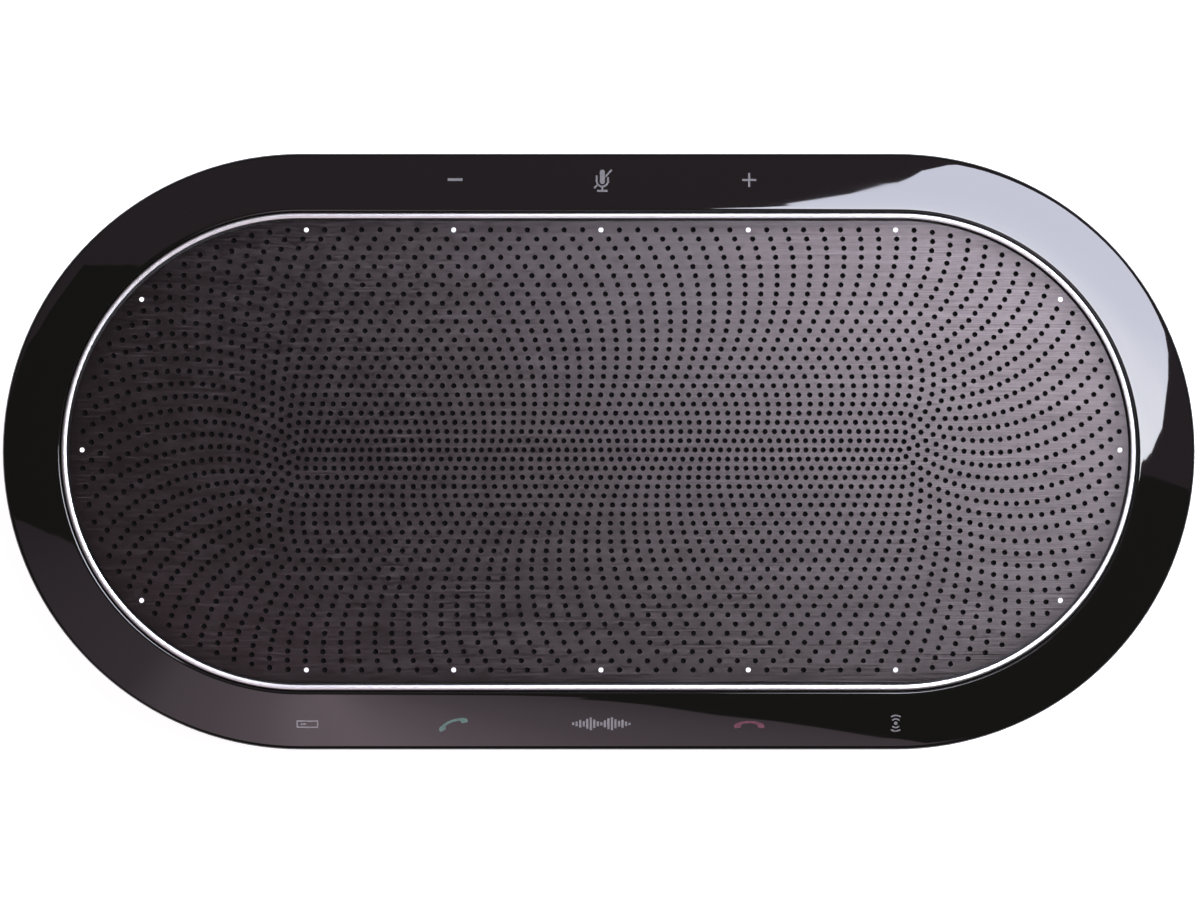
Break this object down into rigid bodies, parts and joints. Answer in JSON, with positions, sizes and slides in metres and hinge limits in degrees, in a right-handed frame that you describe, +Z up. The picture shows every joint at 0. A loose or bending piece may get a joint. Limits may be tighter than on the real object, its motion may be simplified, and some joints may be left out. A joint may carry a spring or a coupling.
{
  "type": "conference speakerphone",
  "caption": "Stadium-shaped desktop conference speakerphone with gloss touch bezel, perforated metal grille, light points, drivers inside and a rear socket bay.",
  "frame": {"origin": "middle of the resting plane, under the rubber foot ring", "axes": "+X along the length, +Y towards the rear socket side, the user's side at -Y, +Z up"},
  "size_m": [0.326, 0.163, 0.0626],
  "materials": {
    "gloss_black": "piano gloss",
    "matte_black": "fine spark-eroded matte",
    "inner_black": "moulded matte",
    "brushed_grille": "brushed lengthways, dark warm-grey anodised",
    "bright_metal": "polished",
    "plated_steel": "zinc or nickel plated",
    "dark_steel": "satin black coat",
    "ferrite": "dull sintered",
    "copper": "enamelled copper winding",
    "paper_cone": "pressed paper, coated",
    "soft_rubber": "matt",
    "spider_cloth": "resin-dipped woven cloth",
    "acoustic_cloth": "fine black mesh",
    "milky_light": "milky translucent",
    "circuit_board": "solder-masked glass laminate",
    "flex_film": "amber polyimide film",
    "label_film": "silver film, no lettering"
  },
  "bodies": {
    "body": {"audio_socket": "inner_black", "bezel": "gloss_black", "chassis": "inner_black", "contactless_antenna": "flex_film", "foot_ring": "soft_rubber", "front_ribbon": "flex_film", "front_touch_board": "circuit_board", "grille_cloth": "acoustic_cloth", "grille_plate": "brushed_grille", "housing_screw_1": "plated_steel", "housing_screw_2": "plated_steel", "housing_screw_3": "plated_steel", "housing_screw_4": "plated_steel", "housing_screw_5": "plated_steel", "housing_screw_6": "plated_steel", "led_board": "circuit_board", "left_basket": "dark_steel", "left_magnet": "ferrite", "left_speaker_box": "inner_black", "left_speaker_lead": "soft_rubber", "left_spider": "spider_cloth", "left_surround": "soft_rubber", "left_top_plate": "plated_steel", "left_yoke": "plated_steel", "light_guide": "milky_light", "lock_plate": "plated_steel", "lower_housing": "matte_black", "main_board": "circuit_board", "microphone_1": "soft_rubber", "microphone_2": "soft_rubber", "microphone_3": "soft_rubber", "microphone_4": "soft_rubber", "port_board": "circuit_board", "power_inlet": "inner_black", "power_switch": "inner_black", "rating_label": "label_film", "rear_ribbon": "flex_film", "rear_touch_board": "circuit_board", "right_basket": "dark_steel", "right_magnet": "ferrite", "right_speaker_box": "inner_black", "right_speaker_lead": "soft_rubber", "right_spider": "spider_cloth", "right_surround": "soft_rubber", "right_top_plate": "plated_steel", "right_yoke": "plated_steel", "shield_can": "plated_steel", "trim_ring": "bright_metal", "usb_a_socket": "plated_steel", "usb_b_socket": "plated_steel", "wireless_module": "circuit_board"},
    "left_driver_motion": {"left_voice_coil": "copper", "left_cone": "paper_cone", "left_dust_cap": "paper_cone"},
    "right_driver_motion": {"right_voice_coil": "copper", "right_cone": "paper_cone", "right_dust_cap": "paper_cone"},
    "button": {"power_button": "matte_black", "switch_plunger": "matte_black"}
  },
  "joints": [
    {"name": "left_cone_travel", "type": "slide", "parent": "body", "child": "left_driver_motion", "axis": [0, 0, 1], "range_m": [-0.003, 0.003], "stiffness_N_per_m": 2000, "deforming": ["left_surround", "left_spider"]},
    {"name": "right_cone_travel", "type": "slide", "parent": "body", "child": "right_driver_motion", "axis": [0, 0, 1], "range_m": [-0.003, 0.003], "stiffness_N_per_m": 2000, "deforming": ["right_surround", "right_spider"]},
    {"name": "power_button_press", "type": "slide", "parent": "body", "child": "button", "axis": [0, -1, 0], "range_m": [0, 0.0008], "stiffness_N_per_m": 1500}
  ]
}
